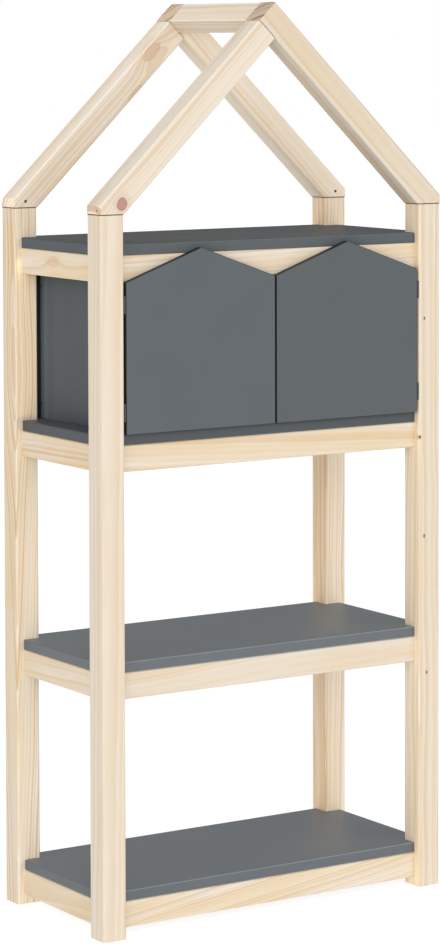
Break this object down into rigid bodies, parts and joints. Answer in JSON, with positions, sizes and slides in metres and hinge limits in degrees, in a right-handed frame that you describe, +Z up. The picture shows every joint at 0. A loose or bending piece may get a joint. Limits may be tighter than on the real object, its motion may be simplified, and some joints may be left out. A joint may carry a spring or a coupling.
{
  "type": "house-shaped children's bookshelf",
  "caption": "House-shaped children's bookshelf in pine and grey board, with open shelves, a gable-door cabinet and an open roof frame.",
  "frame": {"origin": "on the floor, at the middle of the rectangle of the four posts", "axes": "+Z up, front with the doors towards -Y, +X to the right as seen from the front"},
  "size_m": [0.7, 0.336, 1.5767],
  "materials": {
    "pine": "fine-sanded untreated pine with pale grain and a few knots",
    "grey_board": "board painted in satin dark grey",
    "beech": "fluted dowel wood",
    "black_steel": "blackened steel, semi-matte",
    "zinc_steel": "bright zinc plate",
    "black_plastic": "moulded black plastic"
  },
  "bodies": {
    "frame": {"post_front_left": "pine", "post_front_right": "pine", "post_back_left": "pine", "post_back_right": "pine", "rafter_front_left": "pine", "rafter_front_right": "pine", "rafter_back_left": "pine", "rafter_back_right": "pine", "ridge_beam": "pine", "bottom_rail_front": "pine", "bottom_rail_back": "pine", "bottom_rail_left": "pine", "bottom_rail_right": "pine", "middle_rail_front": "pine", "middle_rail_back": "pine", "middle_rail_left": "pine", "middle_rail_right": "pine", "cabinet_rail_front": "pine", "cabinet_rail_back": "pine", "cabinet_rail_left": "pine", "cabinet_rail_right": "pine", "top_rail_front": "pine", "top_rail_back": "pine", "top_rail_left": "pine", "top_rail_right": "pine", "bottom_shelf": "grey_board", "middle_shelf": "grey_board", "cabinet_floor": "grey_board", "top_shelf": "grey_board", "cabinet_side_left": "grey_board", "cabinet_side_right": "grey_board", "cabinet_back": "grey_board", "hinge_leaves_frame": "black_steel", "hinge_pins": "black_steel", "hinge_screws_frame": "black_steel", "rail_dowels": "beech", "ridge_dowels": "beech", "panel_dowels": "beech", "shelf_screws": "zinc_steel", "foot_pins": "zinc_steel", "foot_lock_screws": "black_steel", "apex_screws": "zinc_steel", "back_panel_screws": "black_steel", "catch_body": "black_plastic", "catch_magnets": "zinc_steel", "catch_screws": "zinc_steel"},
    "left_door": {"door_left": "grey_board", "hinge_leaves_left": "black_steel", "hinge_screws_left": "black_steel", "strike_plate_left": "zinc_steel", "strike_screw_left": "zinc_steel"},
    "right_door": {"door_right": "grey_board", "hinge_leaves_right": "black_steel", "hinge_screws_right": "black_steel", "strike_plate_right": "zinc_steel", "strike_screw_right": "zinc_steel"}
  },
  "joints": [
    {"name": "left_door_hinge", "type": "hinge", "parent": "frame", "child": "left_door", "pos_m": [-0.3028, -0.166, 0.9805], "axis": [0, 0, -1], "range_deg": [0, 110]},
    {"name": "right_door_hinge", "type": "hinge", "parent": "frame", "child": "right_door", "pos_m": [0.3028, -0.166, 0.9805], "axis": [0, 0, 1], "range_deg": [0, 110]}
  ]
}
